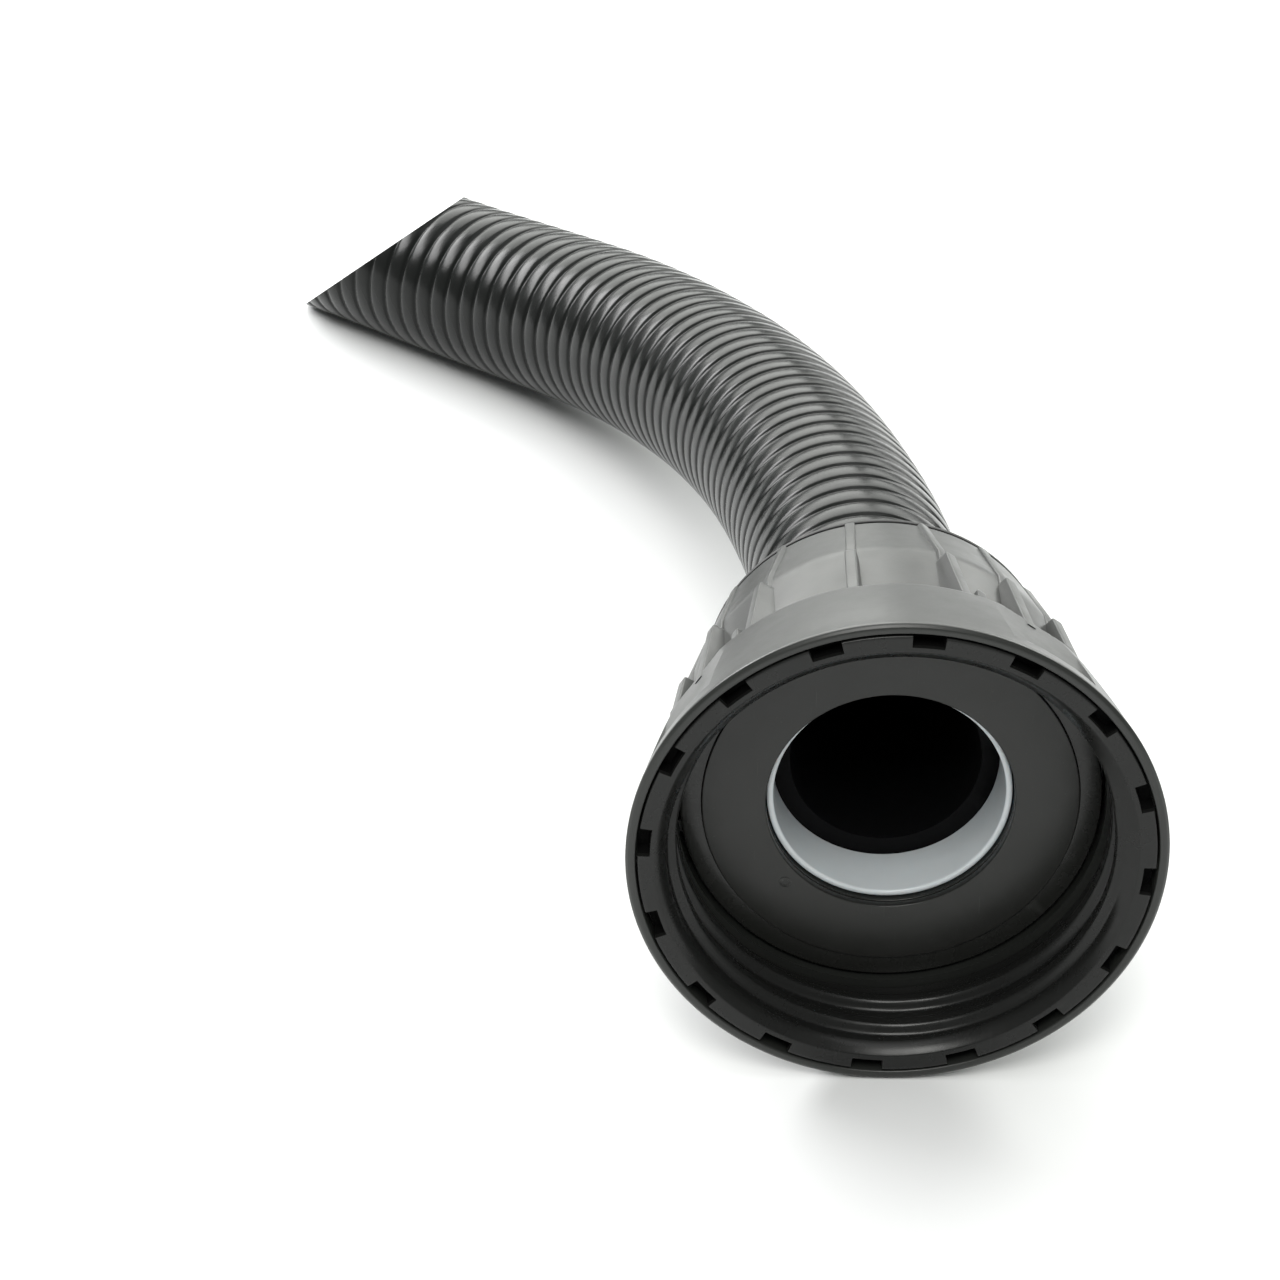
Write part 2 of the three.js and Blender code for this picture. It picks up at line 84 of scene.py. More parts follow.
# Sections along each of those: depth, the radii of its foot and top, and its half-width at each.
TALL_RIB = [
    (20.3, 32, 38.05, 1.25, 0.95),
    (39, 32, 35.6, 1.25, 0.95),
    (39.65, 32, 35.48, 1.25, 0.93),
    (39.9, 32, 35.36, 1.2, 0.85),
    (40, 32, 35.1, 1.0, 0.6),
]
LOW_BAND = [
    (38.5, 32, 33.92, 0.95, 0.85),
    (TAPER_START, 31.5, 33.9, 0.95, 0.85),
    (58, 28.8, 30.72, 0.95, 0.85),
    (58.5, 28.7, 30.55, 0.9, 0.75),
]
EAR = [
    (20, 32, 38.3, 0.9, 0.88),
    (21.4, 32, 38.15, 0.9, 0.88),
    (24, 32, 38.05, 0.9, 0.88),
    (24.4, 32, 37.98, 0.75, 0.72),
    (24.6, 32, 37.75, 0.45, 0.4),
]

# The threaded insert.
POCKETS = 16
POCKET_ANGLE = 4.7
POCKET_DEPTH = 3.2
THREAD_ROOT = 36.4
THREAD_HEIGHT = 1.6
THREAD_PITCH = 6.5
THREAD_SPAN = (2.6, 14.8)
THREAD_START_ANGLE = 36

# The ribbed hose, with its route's points.
HOSE_RADIUS = 0.0194
HOSE_BORE_RADIUS = 0.016
HOSE_SIDES = 80
RIB_PITCH = 0.00557
RIB_HEIGHT = 0.0005
RINGS_PER_RIB = 16
OUTER_RINGS_PER_INNER = 8
HOSE_ROUTE = [
    (0, 0.00115, 0.043),
    (0, 0.015, 0.043),
    (0, 0.029, 0.043),
    (-0.0003, 0.043, 0.0429),
    (-0.001, 0.057, 0.0425),
    (-0.0022, 0.071, 0.0417),
    (-0.0039, 0.085, 0.0406),
    (-0.0061, 0.099, 0.0393),
    (-0.0087, 0.113, 0.0379),
    (-0.0118, 0.127, 0.0364),
    (-0.0155, 0.141, 0.0348),
    (-0.0198, 0.1545, 0.0332),
    (-0.0246, 0.168, 0.0314),
    (-0.0301, 0.181, 0.0296),
    (-0.0363, 0.194, 0.0278),
    (-0.0432, 0.2065, 0.026),
    (-0.0509, 0.2185, 0.0243),
    (-0.0592, 0.2297, 0.0226),
    (-0.068, 0.2402, 0.0212),
    (-0.0773, 0.25, 0.0202),
    (-0.087, 0.2593, 0.0196),
    (-0.097, 0.2684, HOSE_RADIUS),
    (-0.1073, 0.2774, HOSE_RADIUS),
    (-0.1178, 0.2863, HOSE_RADIUS),
    (-0.1285, 0.295, HOSE_RADIUS),
    (-0.141, 0.3048, HOSE_RADIUS),
]
CUT_CENTRE = Vector((-0.1098, 0.2796, HOSE_RADIUS))
CUT_HEADING = math.radians(155)
CUT_ELEVATION = math.radians(52)
ON_CUT = 1e-6

# The mark on the gasket: where it is, and its size.
MARK_RADIUS_FROM_AXIS = 22.9
MARK_ANGLE = math.radians(227.1)
MARK_RADIUS = 0.95
MARK_SIDES = 24

# The camera, in the place the photograph was taken from.
CAMERA_PLACE = (-0.03463, -0.42514, 0.30705)
CAMERA_LOOK = Vector((-0.0130, 0.8697, -0.4933))
CAMERA_RIGHT = Vector((0.9999, 0.0150, 0.0))
CAMERA_LENS = 84.375
SENSOR = 36
FLOOR_REACH = 3


# ---------------------------------------------------------------- camera, light and floor


def make_camera():
    data = bpy.data.cameras.new("camera")
    data.lens = CAMERA_LENS
    data.sensor_width = SENSOR
    data.clip_start = 0.01
    camera = bpy.data.objects.new("camera", data)
    back = -CAMERA_LOOK.normalized()
    up = back.cross(CAMERA_RIGHT).normalized()
    right = up.cross(back)
    turn = Matrix((right, up, back)).transposed()
    camera.matrix_world = Matrix.Translation(CAMERA_PLACE) @ turn.to_4x4()
    bpy.context.scene.collection.objects.link(camera)
    bpy.context.scene.camera = camera


def make_light(name, place, target, size, power, colour=(1, 1, 1)):
    """A soft rectangular lamp that faces its target."""
    data = bpy.data.lights.new(name, "AREA")
    data.shape = "RECTANGLE"
    data.size, data.size_y = size
    data.energy = power
    data.color = colour
    lamp = bpy.data.objects.new(name, data)
    lamp.location = place
    lamp.rotation_euler = (Vector(target) - Vector(place)).to_track_quat("-Z", "Y").to_euler()
    bpy.context.scene.collection.objects.link(lamp)


def make_world():
    world = bpy.data.worlds.new("studio")
    world.use_nodes = True
    background = world.node_tree.nodes["Background"]
    background.inputs["Color"].default_value = (0.97, 1.0, 0.98, 1)
    background.inputs["Strength"].default_value = 0.25
    bpy.context.scene.world = world
    bpy.context.scene.view_settings.view_transform = "Standard"


def make_floor():
    mesh = bpy.data.meshes.new("floor")
    corners = [(x * FLOOR_REACH, y * FLOOR_REACH, 0) for x, y in ((-1, -1), (1, -1), (1, 1), (-1, 1))]
    mesh.from_pydata(corners, [], [(0, 1, 2, 3)])
    floor = bpy.data.objects.new("floor", mesh)
    bpy.context.scene.collection.objects.link(floor)
    pale = Finish("floor_white", Roughness=0.65)
    pale.colour(pale.noise(6, detail=2), (0.86, 0.87, 0.87), (0.89, 0.895, 0.895))
    mesh.materials.append(pale.material)


# ---------------------------------------------------------------- materials


class Finish:
    """A procedural material: one Principled shader and the nodes that feed it, in the object's own place."""

    def __init__(self, name, **sockets):
        self.name = name
        self.material = bpy.data.materials.new(name)
        self.material.use_nodes = True
        self.nodes = self.material.node_tree.nodes
        self.links = self.material.node_tree.links
        self.shader = self.nodes["Principled BSDF"]
        for socket, value in sockets.items():
            self.shader.inputs[socket.replace("_", " ")].default_value = value
        self.place = self.nodes.new("ShaderNodeTexCoord").outputs["Object"]
        self.normal = None

    def put(self, kind, inputs, **settings):
        """A new node with its settings, and with its inputs set or linked."""
        node = self.nodes.new(kind)
        for setting, value in settings.items():
            setattr(node, setting, value)
        for socket, value in inputs.items():
            if isinstance(value, bpy.types.NodeSocket):
                self.links.new(value, node.inputs[socket])
            else:
                node.inputs[socket].default_value = value
        return node

    def stretched(self, scale, turn=(0, 0, 0)):
        """The place, turned and stretched."""
        inputs = {"Vector": self.place, "Scale": scale, "Rotation": turn}
        return self.put("ShaderNodeMapping", inputs).outputs["Vector"]

    def noise(self, scale, detail=4, stretch=None, turn=(0, 0, 0)):
        where = self.stretched(stretch, turn) if stretch else self.place
        inputs = {"Vector": where, "Scale": scale, "Detail": detail, "Roughness": 0.6}
        return self.put("ShaderNodeTexNoise", inputs).outputs["Fac"]

    def ramp(self, value, start, end, low=0.0, high=1.0):
        """The value's stretch from start to end, turned into low to high."""
        inputs = {"Value": value, "From Min": start, "From Max": end, "To Min": low, "To Max": high}
        return self.put("ShaderNodeMapRange", inputs).outputs["Result"]

    def sum(self, *values):
        total = values[0]
        for value in values[1:]:
            total = self.put("ShaderNodeMath", {0: total, 1: value}, operation="ADD").outputs[0]
        return total

    def mixed(self, mask, low, high):
        """Two colours, or outputs that carry colours, mixed by a mask."""
        low, high = (c if isinstance(c, bpy.types.NodeSocket) else (*c, 1) for c in (low, high))
        node = self.put("ShaderNodeMix", {0: mask, 6: low, 7: high}, data_type="RGBA")
        return node.outputs[2]

    def colour(self, mask, low, high):
        self.links.new(self.mixed(mask, low, high), self.shader.inputs["Base Color"])

    def feed(self, socket, value):
        self.links.new(value, self.shader.inputs[socket])

    def bump(self, height, distance, strength=1.0):
        inputs = {"Height": height, "Distance": distance, "Strength": strength}
        if self.normal:
            inputs["Normal"] = self.normal
        self.normal = self.put("ShaderNodeBump", inputs).outputs["Normal"]
        self.links.new(self.normal, self.shader.inputs["Normal"])

    def edges(self, start=0.53, end=0.62):
        """High along the outer edges of a finely divided shape."""
        geometry = self.put("ShaderNodeNewGeometry", {})
        return self.ramp(geometry.outputs["Pointiness"], start, end)

    def scratches(self, seed_turn, thickness=0.025):
        """Fine straight scratches in one direction."""
        streaks = self.noise(1, 3, stretch=(2600, 60, 60), turn=seed_turn)
        return self.ramp(streaks, 0.72, 0.72 + thickness)


def moulded(name, colour, roughness, wear=0.35, grain=0.00002, **sockets):
    """Moulded plastic: a faint cloudiness, a fine grain, dust, small scratches and paler worn edges."""
    finish = Finish(name, **sockets)
    darker = tuple(c * 0.86 for c in colour)
    worn = tuple(min(1, c * 1.5 + 0.03) for c in colour)
    cloudy = finish.mixed(finish.noise(70, 5), darker, colour)
    directions = [(0.3, 0.9, 0.4), (1.2, 0.2, 2.1), (0.7, 2.0, 1.1)]
    scratched = finish.sum(*(finish.scratches(direction) for direction in directions))
    dust = finish.ramp(finish.noise(1900, 2), 0.7, 0.78)
    marks = finish.ramp(finish.sum(finish.edges(), scratched, dust), 0, 2, 0, wear)
    finish.colour(marks, cloudy, worn)
    finish.feed("Roughness", finish.ramp(finish.noise(160, 6), 0.3, 0.7, roughness - 0.04, roughness + 0.05))
    finish.bump(finish.noise(2400, 3), grain, 0.5)
    finish.bump(finish.noise(35, 2), 0.00012, 0.15)
    finish.bump(scratched, -0.00001, wear)
    return finish


def make_materials():
    made = [
        moulded("nut_plastic", (0.022, 0.0235, 0.0215), 0.35, wear=0.05, Specular_IOR_Level=0.46),
        moulded("insert_plastic", (0.011, 0.0113, 0.0107), 0.28, 0.2, grain=0.000006, Specular_IOR_Level=0.3),
        # Near-black painted shade for the pockets sunk into the insert's face.
        moulded("pocket_painted_shade", (0.004, 0.004, 0.004), 0.7, wear=0.0, Specular_IOR_Level=0.1),
        moulded("flange_plastic", (0.018, 0.0185, 0.017), 0.26, wear=0.5, Specular_IOR_Level=0.4),
        moulded("gasket_rubber", (0.02, 0.0205, 0.019), 0.34, wear=0.6, Specular_IOR_Level=0.4),
        # The hose's bore and the ring that closes its near end: near-black painted shade, darker than the
        # hose's own plastic.
        moulded("hose_inside_painted_shade", (0.004, 0.004, 0.0045), 0.7, wear=0.1, Specular_IOR_Level=0.1),
        moulded("bearing_plastic", (0.66, 0.64, 0.58), 0.4, wear=0.15),
        moulded("seal_rubber", (0.012, 0.012, 0.012), 0.55, wear=0.3),
        moulded("hose_plastic", (0.009, 0.0098, 0.0093), 0.22, wear=0.08, Specular_IOR_Level=0.13),
        sleeve_finish(),
        steel_finish(),
    ]
    return {finish.name: finish.material for finish in made}


def sleeve_finish():
    """Milky, slightly clear plastic, pale blue-grey."""
    finish = moulded(
        "sleeve_plastic",
        (0.76, 0.81, 0.84),
        0.22,
        wear=0.1,
        Subsurface_Weight=0.25,
        Subsurface_Scale=0.002,
    )
    finish.shader.inputs["Subsurface Radius"].default_value = (0.8, 1.0, 1.1)
    return finish


def steel_finish():
    """Brushed stainless steel."""
    finish = Finish("clamp_steel", Metallic=1.0)
    brushed = finish.noise(1, 4, stretch=(300, 9000, 300))
    finish.colour(brushed, (0.42, 0.43, 0.44), (0.68, 0.69, 0.7))
    finish.feed("Roughness", finish.ramp(brushed, 0.3, 0.7, 0.22, 0.42))
    finish.bump(brushed, 0.00001, 0.6)
    return finish


# ---------------------------------------------------------------- round pieces


def placed(radius, angle, depth):
    """Points of the nut from radius and depth in millimetres and angle in radians, as arrays or numbers."""
    along = NUT_FRONT + depth * MM + 0 * angle
    height = AXIS_HEIGHT + radius * MM * np.cos(angle)
    return np.stack([radius * MM * np.sin(angle), along, height], axis=-1)


def rounded(corners, steps=4):
    """An outline with rounded corners. Each corner is radius, depth and how far its rounding reaches."""
    points = []
    for i, (radius, depth, reach) in enumerate(corners):
        here = np.array((radius, depth), float)
        if not reach:
            points.append(here)
            continue
        before = np.array(corners[i - 1][:2], float)
        after = np.array(corners[(i + 1) % len(corners)][:2], float)
        start = here + (before - here) * min(0.5, reach / np.linalg.norm(before - here))
        end = here + (after - here) * min(0.5, reach / np.linalg.norm(after - here))
        for t in np.linspace(0, 1, steps + 1):
            points.append(start * (1 - t) ** 2 + here * 2 * t * (1 - t) + end * t**2)
    return np.array(points)


def finished(name, mesh, body, replaced, material, sharp=40):
    """The mesh as a piece of the object, smooth apart from its sharp edges."""
    mesh.shade_smooth()
    mesh.set_sharp_from_angle(angle=math.radians(sharp))
    mesh.materials.append(material)
    piece = bpy.data.objects.new(name, mesh)
    bpy.context.scene.collection.objects.link(piece)
    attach(piece, body)
    if replaced:
        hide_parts(replaced)
    return piece


def skin(name, columns):
    """A closed ring of a surface from columns of points. Each column is a closed outline."""
    count, rows = columns.shape[:2]
    column, row = np.meshgrid(np.arange(count), np.arange(rows), indexing="ij")
    next_column, next_row = (column + 1) % count, (row + 1) % rows
    here, following = column * rows, next_column * rows
    corners = [here + row, here + next_row, following + next_row, following + row]
    faces = np.stack(corners, axis=-1).reshape(-1, 4)
    mesh = bpy.data.meshes.new(name)
    mesh.from_pydata(columns.reshape(-1, 3).tolist(), [], faces.tolist())
    tidy = bmesh.new()
    tidy.from_mesh(mesh)
    bmesh.ops.recalc_face_normals(tidy, faces=tidy.faces)
    tidy.to_mesh(mesh)
    tidy.free()
    return mesh


def turned(name, outline, sides=256):
    """A ring turned from a closed outline of radius and depth."""
    angles = np.linspace(0, 2 * np.pi, sides, endpoint=False)[:, None]
    return skin(name, placed(outline[:, 0][None, :], angles, outline[:, 1][None, :]))


def make_grip_shell(material):
    """The shell's round body with its scoops, and the ribs and ears that stand on it."""
    depths = shell_rows()
    angles = shell_angles()
    outside = np.array([scooped_outline(angle, depths) for angle in angles])
    inside = shell_inside()
    columns = []
    for k in range(QUARTERS):
        middle = math.radians(GRIP_ANGLE + SCOOP_OFFSET + 90 * k)
        for angle, outline in zip(angles, outside):
            outer = placed(outline[:, 0], outline[:, 1] + middle, depths)
            inner = placed(inside[:, 0], math.radians(angle) + middle, inside[:, 1])
            columns.append(np.concatenate([outer, inner]))
    mesh = skin("grip_shell_moulding", np.array(columns))
    shape = bmesh.new()
    shape.from_mesh(mesh)
    for k in range(QUARTERS):
        quarter = GRIP_ANGLE + 90 * k
        for offset, aside in RIBS:
            add_bar(shape, quarter + offset, aside, TALL_RIB)
            add_bar(shape, quarter + offset, aside, LOW_BAND)
        for offset, aside in EARS:
            add_bar(shape, quarter + offset, aside, EAR)
    bmesh.ops.recalc_face_normals(shape, faces=shape.faces)
    shape.to_mesh(mesh)
    shape.free()
    finished("grip_shell_moulding", mesh, "union_nut", "grip_shell", material, sharp=50)


def shell_rows():
    """Depths down the shell's outside, close together where its shape turns."""
    spans = [(0.02, 0.5, 5), (0.5, 4.4, 8), (4.4, 5, 10), (5, 20, 30), (20, 27.5, 26), (27.5, 42, 15)]
    last = SHELL_LENGTH - 0.02
    spans += [(42, 44, 8), (44, 57.6, 16), (57.6, last, 8)]
    return np.concatenate([*(np.linspace(a, b, n, endpoint=False) for a, b, n in spans), [last]])


def shell_angles():
    """Angles from the middle of a scoop to either side, close together at the scoop's walls."""
    wall = math.degrees(math.asin(SCOOP_HALF_WIDTH / SCOOP_FLOOR))
    near_wall = [wall - 1.2, wall - 0.6, wall - 0.3, wall - 0.12, wall, wall + 0.08, wall + 0.2, wall + 0.5]
    half = [*np.linspace(0.6, wall - 1.8, 12), *near_wall, *np.arange(wall + 1.3, 44.6, 1.1)]
    return np.array([-45, *(-a for a in reversed(half)), 0, *half])


def shell_outline_radius(depth):
    """The plain shell's outside, with its edges rounded."""
    corners = [(RIM_RADIUS - 0.6, 0, 0), (RIM_RADIUS, 0.5, 0.3), *[(r, d, 1.5) for r, d in COLLAR_FLARE]]
    corners += [(*COLLAR_BACK, 0.5), (BARREL_RADIUS, BARREL_START, 1.2), (BARREL_RADIUS, TAPER_START, 1.5)]
    corners += [(BARREL_BACK_RADIUS, SHELL_LENGTH - 0.5, 0.3), (BARREL_BACK_RADIUS - 0.5, SHELL_LENGTH, 0)]
    outline = rounded(corners, 8)
    return np.interp(depth, outline[:, 1], outline[:, 0])


def scooped_outline(angle, depths):
    """The outside's radius and angle at each depth, for a column that stands square to its scoop."""
    aside = SCOOP_FLOOR * math.sin(math.radians(angle))
    plain = shell_outline_radius(depths)
    radius = plain
    if abs(aside) <= SCOOP_HALF_WIDTH:
        hollow = SCOOP_HOLLOW * (1 - (aside / SCOOP_HALF_WIDTH) ** 2)
        floor = SCOOP_FLOOR - SCOOP_SLOPE * (depths - SCOOP_START) - hollow
        wall = 6 * np.maximum(0, SCOOP_START + 0.25 - depths)
        radius = np.minimum(plain, np.hypot(floor, aside) + wall)
    square = np.arcsin(aside / radius)
    leaning = np.clip((35 - abs(angle)) / 12, 0, 1)
    return np.stack([radius, leaning * square + (1 - leaning) * math.radians(angle)], axis=-1)


def add_bar(shape, angle, aside, sections):
    """A closed bar along the nut, with rounded upper edges and its foot inside the shell."""
    turn = math.radians(angle)
    loops = []
    for depth, foot, top, foot_half, top_half in sections:
        low, high = math.sqrt(foot**2 - aside**2), math.sqrt(top**2 - aside**2)
        corners = [(-foot_half, low, 0), (-top_half, high, 0.3), (top_half, high, 0.3), (foot_half, low, 0)]
        outline = rounded(corners)
        x, height = (outline[:, 0] + aside) * MM, outline[:, 1] * MM
        across = x * math.cos(turn) + height * math.sin(turn)
        above = AXIS_HEIGHT + height * math.cos(turn) - x * math.sin(turn)
        along = NUT_FRONT + depth * MM
        loops.append([shape.verts.new((a, along, b)) for a, b in zip(across, above)])
    for a, b in zip(loops, loops[1:]):
        for k in range(len(a)):
            following = (k + 1) % len(a)
            shape.faces.new((a[k], a[following], b[following], b[k]))
    shape.faces.new(loops[0])
    shape.faces.new(loops[-1])


def shell_inside():
    """The shell's back face, bore, chamber and the seat of the insert, from back to front."""
    corners = [
        (BARREL_BACK_RADIUS - 0.8, SHELL_LENGTH),
        (27.1, SHELL_LENGTH),
        (30.5, TAPER_START + 1),
        (30.5, 27),
        (28.6, 27),
        (28.6, 22.8),
        (35, 22.8),
        (35, 16.7),
        (37.7, 16.7),
        (37.7, 4.9),
        (41.3, 4.3),
        (41.3, 0.25),
        (41.42, 0.06),
        (41.6, 0),
        (42, 0),
    ]
    return np.array(corners, float)


def make_insert(material, pocket_shade_material):
    """The insert: its face with the pockets, the chamfer, and the female thread; the pockets' floors and
    walls get painted shade.
    """
    angles = insert_angles()
    profile = np.stack([insert_profile(angle) for angle in angles])
    columns = placed(profile[..., 0], np.radians(angles)[:, None], profile[..., 1])
    name = "threaded_insert_moulding"
    mesh = skin(name, columns)
    finished(name, mesh, "union_nut", "threaded_insert", material, sharp=50)
    mesh.materials.append(pocket_shade_material)
    paint_pocket_shade(mesh)


def insert_angles():
    near_edge = [3.3, 3.42, 3.54, 3.66]
    half = [1.6, *near_edge, 4.8, 6.2, 7.6, 9, 10.2]
    pocket = [-a for a in reversed(half)] + [0] + half
    return np.concatenate([np.array(pocket) + POCKET_ANGLE + k * 360 / POCKETS for k in range(POCKETS)])


def smooth_step(value, start, end):
    t = np.clip((value - start) / (end - start), 0, 1)
    return t * t * (3 - 2 * t)


def insert_profile(angle):
    """The insert's closed outline at one angle."""
    aside = abs((angle - POCKET_ANGLE + 11.25) % 22.5 - 11.25)
    in_pocket = smooth_step(-aside, -3.66, -3.3)
    radii = np.array([40.99, 40.9, 40.75, 40.3, 39.8, 39.4, 39.24, 39.16, 39.08, 39, 38.8, 38.4, 38.2, 38.06])
    face = np.array([0.25, 0.08, 0.01, 0, 0, 0, 0, 0, 0, 0, 0, 0.01, 0.05, 0.16])
    sunk = POCKET_DEPTH * in_pocket * smooth_step(radii, 39, 39.24)
    depths = np.linspace(1.75, 16.3, 56)
    wall = thread_radius(angle, depths)
    face_part = np.stack([radii, np.maximum(face, sunk)], axis=-1)
    back = np.array([(THREAD_ROOT, 16.4), (37.4, 16.4), (37.4, 4.6), (41, 4)])
    return np.concatenate([face_part, np.stack([wall, depths], axis=-1), back])


def thread_radius(angle, depths):
    """The threaded wall's radius: the root, less the ridge where its helix passes."""
    start, end = THREAD_SPAN
    turns = (end - start) / THREAD_PITCH
    ridge = np.zeros_like(depths)
    for lap in range(-1, 3):
        turn = (angle - THREAD_START_ANGLE) / 360 + lap
        if 0 < turn < turns:
            fade = min(1, turn / 0.12, (turns - turn) / 0.12)
            aside = np.abs(depths - start - THREAD_PITCH * turn)
            ridge = np.maximum(ridge, fade * smooth_step(-aside, -2.0, -0.8))
    return THREAD_ROOT - THREAD_HEIGHT * ridge


def paint_pocket_shade(mesh):
    """Gives the pockets' floors and walls the second material: near-black painted shade in the recesses."""
    for face in mesh.polygons:
        place = Vector(face.center)
        depth = (place.y - NUT_FRONT) / MM
        radius = math.hypot(place.x, place.z - AXIS_HEIGHT) / MM
        if 0.6 < depth < 3.9 and radius > 38.95:
            face.material_index = 1


def make_rings(materials):
    """The turned pieces: their outlines follow the CAD nodes that they replace, with rounded edges."""
    tailpiece = rounded(
        [
            (30.8, 17.7, 0.12), (34.4, 17.7, 0.5), (34.4, 21, 0.3), (28, 21, 0.2), (28, 42.5, 0.6),
            (25, 42.5, 0.5), (25, 37.4, 0), (26.3, 37.4, 0), (26.3, 34.8, 0), (25, 34.8, 0), (25, 28, 0),
            (20.3, 28, 0.2), (20.3, 24.4, 0), (22.6, 24.4, 0), (22.6, 21.7, 0), (20.3, 21.7, 0),
            (20.3, 19, 0.2), (30.8, 19, 0.2),
        ]
    )
    gasket = rounded([(20.3, 17.3, 0.3), (30.79, 17.3, 0.25), (30.75, 18.7, 0.2), (20.3, 18.7, 0.2)])
    sleeve = rounded(
        [
            (19, 19.9, 0.45), (20.1, 19.9, 0.45), (20.1, 29.8, 0), (24.7, 29.8, 0.3), (24.7, 32.3, 0.3),
            (22.2, 32.3, 0.3), (22.2, 55, 0.8), (19.8, 55, 0.6), (19.8, 31, 0), (18.95, 31, 0.2),
        ]
    )
    guard = rounded(
        [
            (20.6, 59.3, 0.2), (24.4, 59.3, 0), (24.4, 54.8, 0.3), (26.8, 54.8, 0.3), (26.8, 59.3, 0),
            (29.95, 59.3, 0.2), (29.95, 60.3, 0.4), (20.6, 60.3, 0.3),
        ]
    )
    pieces = [
        ("tailpiece_turning", tailpiece, "swivel_tailpiece", "flange_plastic", "tailpiece"),
        ("face_gasket_ring", gasket, "swivel_tailpiece", "gasket_rubber", "face_gasket"),
        ("hose_sleeve_turning", sleeve, "hose_end", "sleeve_plastic", "hose_sleeve"),
        ("rear_guard_ring", guard, "union_nut", "seal_rubber", "rear_guard"),
    ]
    for name, outline, body, slot, replaced in pieces:
        finished(name, turned(name, outline), body, replaced, materials[slot])


def make_mould_mark(material):
    """The small round mark that the gasket's mould leaves on its face."""
    edge = [(MARK_RADIUS, 17.32), (MARK_RADIUS, 17.2), (MARK_RADIUS * 0.85, 17.14)]
    edge += [(0.55, 17.14), (0.5, 17.22)]
    mesh = bpy.data.meshes.new("mould_mark")
    shape = bmesh.new()
    middle = Vector(placed(MARK_RADIUS_FROM_AXIS, np.float64(MARK_ANGLE), 0))
    loops = []
    for radius, depth in edge:
        loop = []
        for k in range(MARK_SIDES):
            turn = k * math.tau / MARK_SIDES
            aside = Vector((math.cos(turn), 0, math.sin(turn))) * radius * MM
            loop.append(shape.verts.new(middle + aside + Vector((0, depth * MM, 0))))
        loops.append(loop)
    for a, b in zip(loops, loops[1:]):
        for k in range(MARK_SIDES):
            following = (k + 1) % MARK_SIDES
            shape.faces.new((a[k], a[following], b[following], b[k]))
    shape.faces.new(loops[-1])
    shape.faces.new(reversed(loops[0]))
    bmesh.ops.recalc_face_normals(shape, faces=shape.faces)
    shape.to_mesh(mesh)
    shape.free()
    finished("mould_mark", mesh, "swivel_tailpiece", None, material, sharp=30)


# ---------------------------------------------------------------- the hose


def route_curve(points, spacing):
    """The smooth curve through the points, at an even spacing along its length."""
    points = np.array(points, float)
    before = 2 * points[0] - points[1]
    after = 2 * points[-1] - points[-2]
    ends = np.vstack([before, points, after])
    fine = []
    for a, b, c, d in zip(ends, ends[1:], ends[2:], ends[3:]):
        for t in np.linspace(0, 1, 40, endpoint=False):
            square, cube = (2 * a - 5 * b + 4 * c - d) * t**2, (3 * b - a - 3 * c + d) * t**3
            fine.append(0.5 * (2 * b + (c - a) * t + square + cube))
    fine = np.array([*fine, points[-1]])
    along = np.concatenate([[0], np.cumsum(np.linalg.norm(np.diff(fine, axis=0), axis=1))])
    steps = np.arange(0, along[-1], spacing)
    return np.stack([np.interp(steps, along, fine[:, i]) for i in range(3)], axis=-1), steps


def hose_frames(line):
    """At each point of the line, two directions square to it, without twist."""
    ahead = np.gradient(line, axis=0)
    ahead /= np.linalg.norm(ahead, axis=1)[:, None]
    aside = np.cross(ahead, (0, 0, 1))
    aside /= np.linalg.norm(aside, axis=1)[:, None]
    return aside, np.cross(aside, ahead)


def rib_height(phase):
    """The rib's section along the hose: a steep near side, a broad crest and a gentle fall to a groove."""
    along = [0, 0.05, 0.1, 0.18, 0.3, 0.45, 0.6, 0.73, 0.83, 0.9, 0.95, 1]
    height = [0, 0.4, 0.68, 0.86, 0.96, 1, 0.97, 0.88, 0.74, 0.55, 0.28, 0]
    return RIB_HEIGHT * np.interp(phase % 1, along, height)


def make_hose(material, inside_shade_material):
    line, steps = route_curve(HOSE_ROUTE, RIB_PITCH / RINGS_PER_RIB)
    aside, above = hose_frames(line)
    turn = np.linspace(0, 2 * np.pi, HOSE_SIDES, endpoint=False)
    outward = aside[:, None] * np.cos(turn)[None, :, None] + above[:, None] * np.sin(turn)[None, :, None]
    phase = steps[:, None] / RIB_PITCH - turn[None, :] / (2 * np.pi)
    radius = HOSE_RADIUS - RIB_HEIGHT + rib_height(phase)
    outer = line[:, None] + outward * radius[..., None]
    coarse = slice(None, None, OUTER_RINGS_PER_INNER)
    inner = line[coarse, None] + outward[coarse] * HOSE_BORE_RADIUS
    mesh = tube_mesh(outer, inner)
    hose = finished("ribbed_hose", mesh, "hose_end", "hose_tube", material, sharp=70)
    # The second material is painted shade for the bore.
    hose.data.materials.append(inside_shade_material)
    sharpen_cut(hose.data)
    kept = ((outer - np.array(CUT_CENTRE)) @ np.array(cut_normal()) < 0).any(axis=1)
    path = line[kept]
    length = np.linalg.norm(np.diff(path, axis=0), axis=1).sum()


def cut_normal():
    level = math.cos(CUT_ELEVATION)
    return Vector((level * math.cos(CUT_HEADING), level * math.sin(CUT_HEADING), math.sin(CUT_ELEVATION)))


def sharpen_cut(mesh):
    """Keeps the slanted end's flat face from being shaded round into the hose's walls."""
    for edge in mesh.edges:
        ends = [mesh.vertices[i].co for i in edge.vertices]
        edge.use_edge_sharp |= all(abs((end - CUT_CENTRE).dot(cut_normal())) < ON_CUT for end in ends)


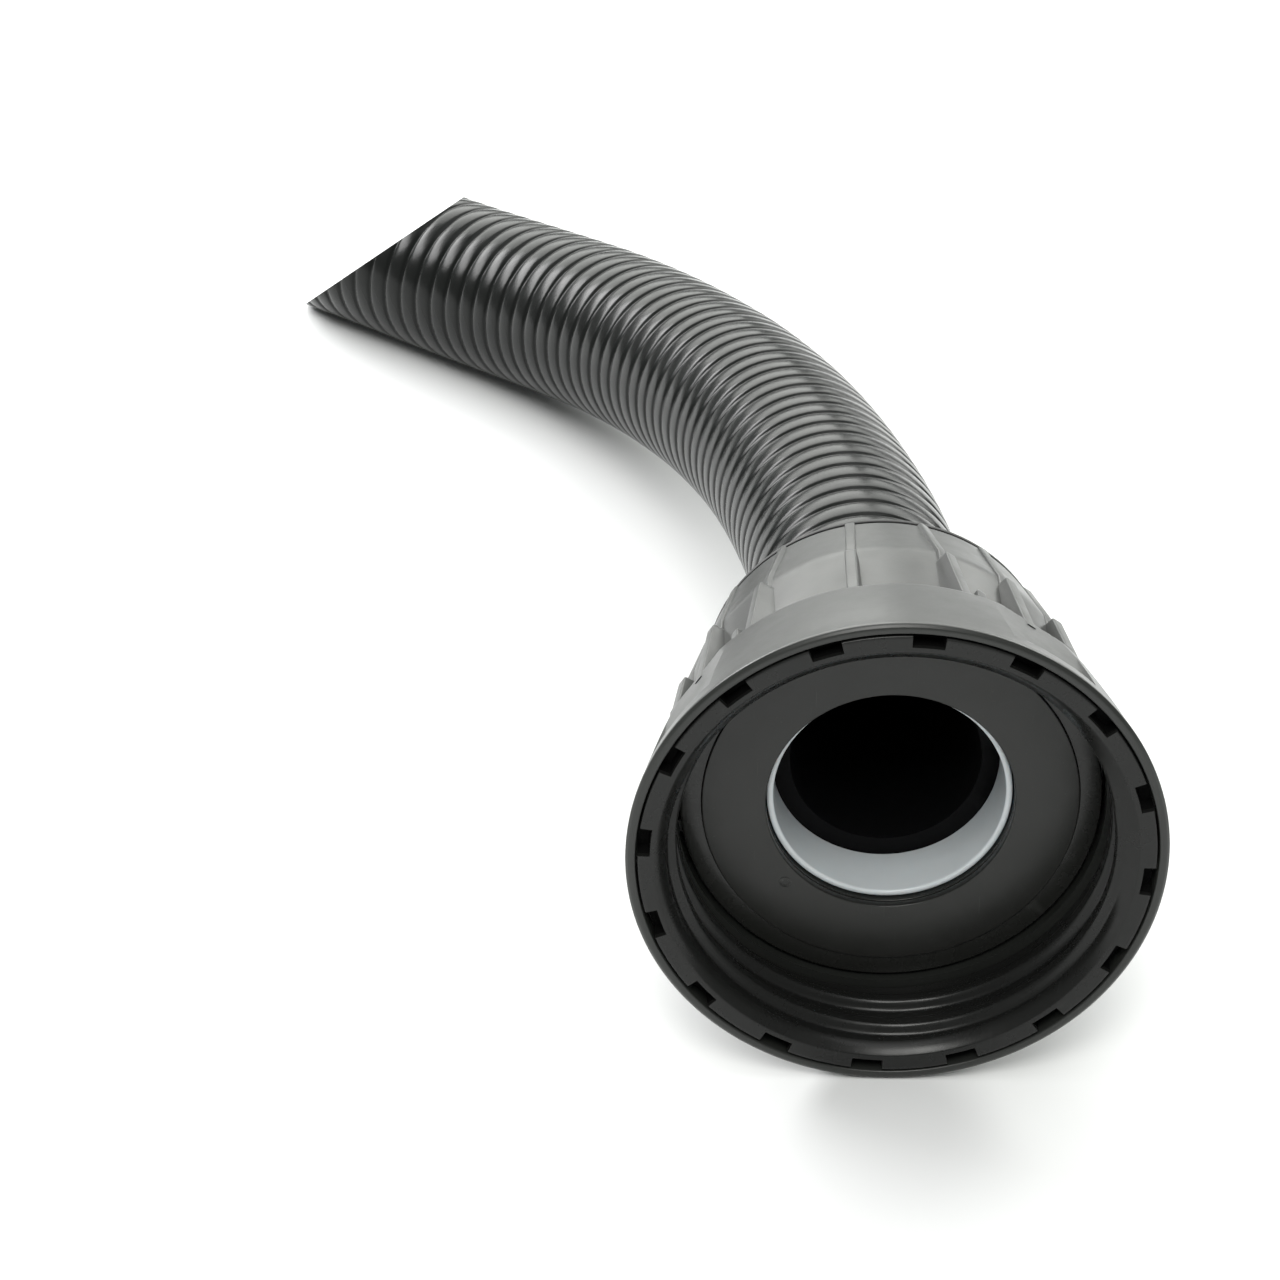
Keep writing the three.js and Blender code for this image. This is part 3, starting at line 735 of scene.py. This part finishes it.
def tube_mesh(outer, inner):
    """The hose's two walls, closed at the near end, then cut by the slanted plane and closed there too."""
    shape = bmesh.new()
    walls = [[[shape.verts.new(p) for p in ring] for ring in wall] for wall in (outer, inner)]
    bands = [(a, b, 0) for a, b in zip(walls[0], walls[0][1:])]
    bands += [(a, b, 1) for a, b in zip(walls[1], walls[1][1:])]
    bands.append((walls[0][0], walls[1][0], 1))
    for a, b, material in bands:
        for k, (p, q) in enumerate(zip(a, b)):
            following = (k + 1) % len(a)
            shape.faces.new((p, a[following], b[following], q)).material_index = material
    everything = shape.verts[:] + shape.edges[:] + shape.faces[:]
    cut = {"plane_co": CUT_CENTRE, "plane_no": cut_normal()}
    bmesh.ops.bisect_plane(shape, geom=everything, clear_outer=True, **cut)
    bmesh.ops.bridge_loops(shape, edges=[edge for edge in shape.edges if edge.is_boundary])
    bmesh.ops.recalc_face_normals(shape, faces=shape.faces)
    mesh = bpy.data.meshes.new("ribbed_hose")
    shape.to_mesh(mesh)
    shape.free()
    return mesh


# ---------------------------------------------------------------- the whole scene


def dress_hidden_nodes(materials):
    """The CAD nodes that stay: the bearings, seals and fasteners inside the swivel."""
    slots = {part["node"]: part["material_slot"] for part in frame["record"]["subparts"]}
    kept = ["slip_ring", "bore_o_ring", "bearing_washer_front", "bearing_washer_rear"]
    kept += ["retaining_half_left", "retaining_half_right", "rear_seal", "hose_clamp"]
    for name in kept:
        mesh = frame["nodes"][name].data
        mesh.materials.clear()
        mesh.materials.append(materials[slots[name]])


make_camera()
materials = make_materials()
make_hose(materials["hose_plastic"], materials["hose_inside_painted_shade"])
make_grip_shell(materials["nut_plastic"])
make_insert(materials["insert_plastic"], materials["pocket_painted_shade"])
make_rings(materials)
make_mould_mark(materials["gasket_rubber"])
dress_hidden_nodes(materials)
make_floor()
make_world()
make_light("overhead", (0.1, 0.2, 1.6), (0, 0.1, 0), (1.6, 1.6), 13)
make_light("back_panel", (-0.3, 1.25, 0.68), (0, 0.05, 0.06), (0.85, 0.8), 10.2, (0.985, 1, 0.965))
make_light("left_panel", (-0.92, 0.72, 0.6), (-0.1, 0.25, 0.03), (0.85, 0.3), 14)
make_light("right_panel", (0.5, 1.18, 0.62), (0, 0.05, 0.06), (0.8, 0.75), 5.6, (0.985, 1, 0.965))
make_light("right_floor_lamp", (0.65, 0.75, 0.5), (0.45, 0.6, 0), (0.5, 0.5), 5, (0.985, 1, 0.965))
make_light("front_lamp", (-0.1, -0.75, 1.05), (0, 0, 0.04), (0.5, 0.5), 8, (1, 1, 0.97))
